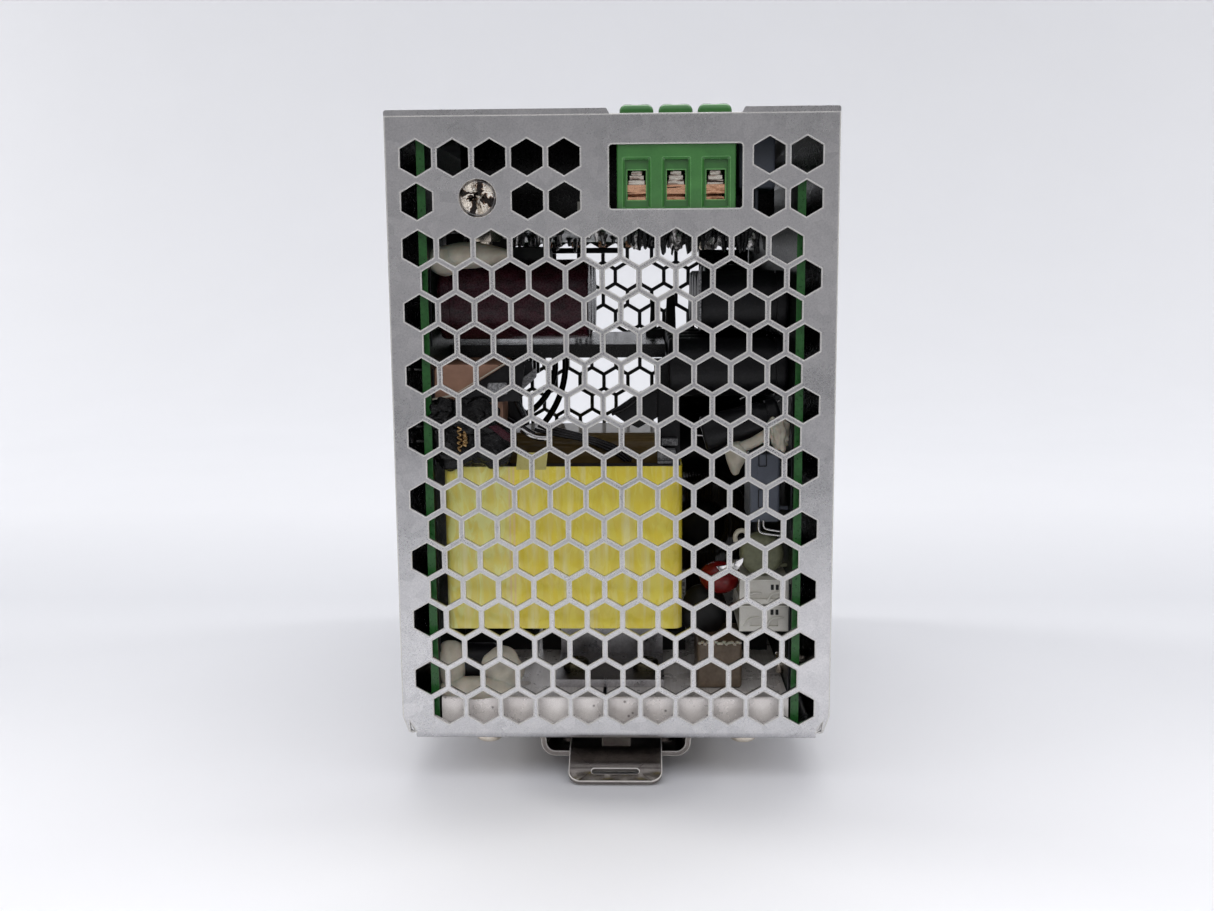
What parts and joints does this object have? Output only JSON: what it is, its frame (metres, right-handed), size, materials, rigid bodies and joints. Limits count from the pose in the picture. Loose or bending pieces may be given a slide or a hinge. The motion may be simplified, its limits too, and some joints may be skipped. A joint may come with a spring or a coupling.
{
  "type": "din rail power supply",
  "caption": "Enclosed power supply for a 35 mm DIN rail: perforated steel case with end terminal blocks, sprung rail clip and its electronics inside.",
  "frame": {"origin": "centre of the rail bracket's seat face, which rests on the rail, at the middle of the case's width and height", "axes": "+Z from the rail out to the front panel, +Y from the input end to the output end, +X along the rail to the right when the input end is faced with the front panel up"},
  "size_m": [0.0856, 0.1304, 0.1328],
  "materials": {
    "galvanised_steel": "mottled zinc coating, satin",
    "nickel_plated_steel": "bright nickel plate",
    "plated_screw": "nickel plate",
    "label_film": "satin printed film",
    "insulation": "matt black film",
    "terminal_green": "satin moulded",
    "contact_copper": "plated copper",
    "clamp_steel": "nickel plate",
    "board_green": "solder mask",
    "ferrite": "matt ferrite",
    "yellow_tape": "glossy polyester tape",
    "winding": "varnished copper wire",
    "tan_tape": "polyimide tape",
    "black_anodised": "black anodised",
    "bar_aluminium": "sawn and brushed",
    "black_epoxy": "matt moulded",
    "burgundy_sleeve": "shrunk sleeve",
    "black_sleeve": "shrunk sleeve",
    "brown_film": "dipped resin",
    "blue_grey_box": "moulded box",
    "white_nylon": "moulded nylon",
    "olive_resin": "dipped resin",
    "wire_insulation": "wire insulation",
    "choke_wire": "enamelled copper",
    "adjuster_blue": "moulded",
    "adjuster_white": "moulded",
    "led_green": "tinted lens"
  },
  "bodies": {
    "case": {"chassis": "galvanised_steel", "cover": "galvanised_steel", "front_label": "label_film", "cover_screws": "plated_screw", "end_wall_screws": "plated_screw", "terminal_board_brackets": "galvanised_steel", "insulation_sheets": "insulation", "rail_bracket": "nickel_plated_steel", "latch_spring": "plated_screw", "bracket_screws": "plated_screw", "heatsink_screws": "plated_screw", "input_terminal_housing": "terminal_green", "input_contacts": "contact_copper", "output_terminal_housing": "terminal_green", "output_contacts": "contact_copper", "power_board": "board_green", "secondary_board": "board_green", "terminal_board": "board_green", "board_spacers": "plated_screw", "board_screws": "plated_screw", "transformer_core": "ferrite", "transformer_tape": "yellow_tape", "transformer_winding": "winding", "power_inductor": "tan_tape", "cross_heatsink": "black_anodised", "heatsink_left": "bar_aluminium", "heatsink_right": "bar_aluminium", "heatsink_link_plate": "galvanised_steel", "link_plate_screws": "plated_screw", "power_transistors": "black_epoxy", "bulk_capacitors": "burgundy_sleeve", "output_capacitors": "black_sleeve", "small_capacitors": "black_sleeve", "film_capacitor": "brown_film", "box_capacitor": "blue_grey_box", "signal_connectors": "white_nylon", "thermistor": "olive_resin", "x_capacitor": "blue_grey_box", "common_mode_choke": "choke_wire", "line_fuse": "white_nylon", "output_choke": "choke_wire", "wire_harness": "wire_insulation", "adjuster_body": "adjuster_blue", "status_led": "led_green"},
    "rail_latch": {"rail_latch": "nickel_plated_steel"},
    "adjuster_rotor": {"adjuster_rotor": "adjuster_white"},
    "input_clamp_1": {"input_clamp_1": "clamp_steel"},
    "input_screw_1": {"input_screw_1": "plated_screw"},
    "input_clamp_2": {"input_clamp_2": "clamp_steel"},
    "input_screw_2": {"input_screw_2": "plated_screw"},
    "input_clamp_3": {"input_clamp_3": "clamp_steel"},
    "input_screw_3": {"input_screw_3": "plated_screw"},
    "output_clamp_1": {"output_clamp_1": "clamp_steel"},
    "output_screw_1": {"output_screw_1": "plated_screw"},
    "output_clamp_2": {"output_clamp_2": "clamp_steel"},
    "output_screw_2": {"output_screw_2": "plated_screw"},
    "output_clamp_3": {"output_clamp_3": "clamp_steel"},
    "output_screw_3": {"output_screw_3": "plated_screw"},
    "output_clamp_4": {"output_clamp_4": "clamp_steel"},
    "output_screw_4": {"output_screw_4": "plated_screw"}
  },
  "joints": [
    {"name": "rail_latch_slide", "type": "slide", "parent": "case", "child": "rail_latch", "axis": [0, -1, 0], "range_m": [0, 0.0045], "stiffness_N_per_m": 2500, "springref_m": -0.002, "deforming": ["latch_spring"]},
    {"name": "adjuster_turn", "type": "hinge", "parent": "case", "child": "adjuster_rotor", "pos_m": [0.013, 0.045, 0.1233], "axis": [0, 0, 1], "range_deg": [-135, 135]},
    {"name": "input_clamp_1_lift", "type": "slide", "parent": "case", "child": "input_clamp_1", "axis": [0, 0, 1], "range_m": [0, 0.0024]},
    {"name": "input_screw_1_turn", "type": "hinge", "parent": "input_clamp_1", "child": "input_screw_1", "pos_m": [0.0047, -0.0536, 0.1223], "axis": [0, 0, 1], "range_deg": [0, 1440]},
    {"name": "input_clamp_2_lift", "type": "slide", "parent": "case", "child": "input_clamp_2", "axis": [0, 0, 1], "range_m": [0, 0.0024]},
    {"name": "input_screw_2_turn", "type": "hinge", "parent": "input_clamp_2", "child": "input_screw_2", "pos_m": [0.0122, -0.0536, 0.1223], "axis": [0, 0, 1], "range_deg": [0, 1440]},
    {"name": "input_clamp_3_lift", "type": "slide", "parent": "case", "child": "input_clamp_3", "axis": [0, 0, 1], "range_m": [0, 0.0024]},
    {"name": "input_screw_3_turn", "type": "hinge", "parent": "input_clamp_3", "child": "input_screw_3", "pos_m": [0.0197, -0.0536, 0.1223], "axis": [0, 0, 1], "range_deg": [0, 1440]},
    {"name": "output_clamp_1_lift", "type": "slide", "parent": "case", "child": "output_clamp_1", "axis": [0, 0, 1], "range_m": [0, 0.0024]},
    {"name": "output_screw_1_turn", "type": "hinge", "parent": "output_clamp_1", "child": "output_screw_1", "pos_m": [0.00225, 0.0536, 0.1223], "axis": [0, 0, 1], "range_deg": [0, 1440]},
    {"name": "output_clamp_2_lift", "type": "slide", "parent": "case", "child": "output_clamp_2", "axis": [0, 0, 1], "range_m": [0, 0.0024]},
    {"name": "output_screw_2_turn", "type": "hinge", "parent": "output_clamp_2", "child": "output_screw_2", "pos_m": [-0.00525, 0.0536, 0.1223], "axis": [0, 0, 1], "range_deg": [0, 1440]},
    {"name": "output_clamp_3_lift", "type": "slide", "parent": "case", "child": "output_clamp_3", "axis": [0, 0, 1], "range_m": [0, 0.0024]},
    {"name": "output_screw_3_turn", "type": "hinge", "parent": "output_clamp_3", "child": "output_screw_3", "pos_m": [-0.01275, 0.0536, 0.1223], "axis": [0, 0, 1], "range_deg": [0, 1440]},
    {"name": "output_clamp_4_lift", "type": "slide", "parent": "case", "child": "output_clamp_4", "axis": [0, 0, 1], "range_m": [0, 0.0024]},
    {"name": "output_screw_4_turn", "type": "hinge", "parent": "output_clamp_4", "child": "output_screw_4", "pos_m": [-0.02025, 0.0536, 0.1223], "axis": [0, 0, 1], "range_deg": [0, 1440]}
  ],
  "couplings": [
    {"joint": "input_screw_1_turn", "follows": "input_clamp_1_lift", "rad_per_m": 10472},
    {"joint": "input_screw_2_turn", "follows": "input_clamp_2_lift", "rad_per_m": 10472},
    {"joint": "input_screw_3_turn", "follows": "input_clamp_3_lift", "rad_per_m": 10472},
    {"joint": "output_screw_1_turn", "follows": "output_clamp_1_lift", "rad_per_m": 10472},
    {"joint": "output_screw_2_turn", "follows": "output_clamp_2_lift", "rad_per_m": 10472},
    {"joint": "output_screw_3_turn", "follows": "output_clamp_3_lift", "rad_per_m": 10472},
    {"joint": "output_screw_4_turn", "follows": "output_clamp_4_lift", "rad_per_m": 10472}
  ]
}
